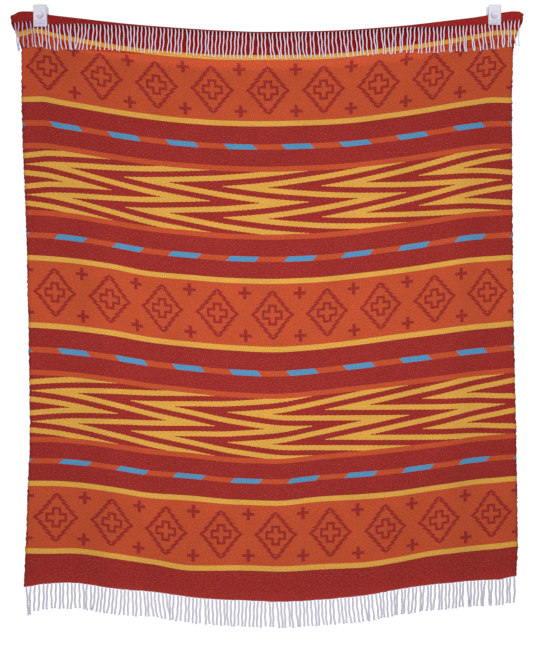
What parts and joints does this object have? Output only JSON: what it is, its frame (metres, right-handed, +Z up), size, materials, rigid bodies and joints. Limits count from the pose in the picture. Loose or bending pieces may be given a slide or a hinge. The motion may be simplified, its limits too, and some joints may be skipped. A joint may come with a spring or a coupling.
{
  "type": "basotho blanket hung on two clips",
  "caption": "Striped woven wool blanket with fringed ends, its top edge folded to the front and hung from two plastic pinch clips.",
  "frame": {"origin": "the middle of the whole object's box", "axes": "+Z up, +X to the right seen from the front, the front of the cloth faces -Y and the clips' flat backs face +Y"},
  "size_m": [1.5008, 0.0432, 1.8208],
  "materials": {
    "blanket": "brushed woven wool in red, orange and yellow bands with blue dashes, matt and slightly hairy",
    "fringe": "two-ply twisted wool cords, pale lavender white, matt",
    "clip": "white moulded plastic, satin gloss"
  },
  "bodies": {
    "root": {"blanket": "blanket", "fringe_top": "fringe", "fringe_bottom": "fringe", "clip_left_front": "clip", "clip_left_back": "clip", "clip_right_front": "clip", "clip_right_back": "clip"}
  },
  "joints": []
}
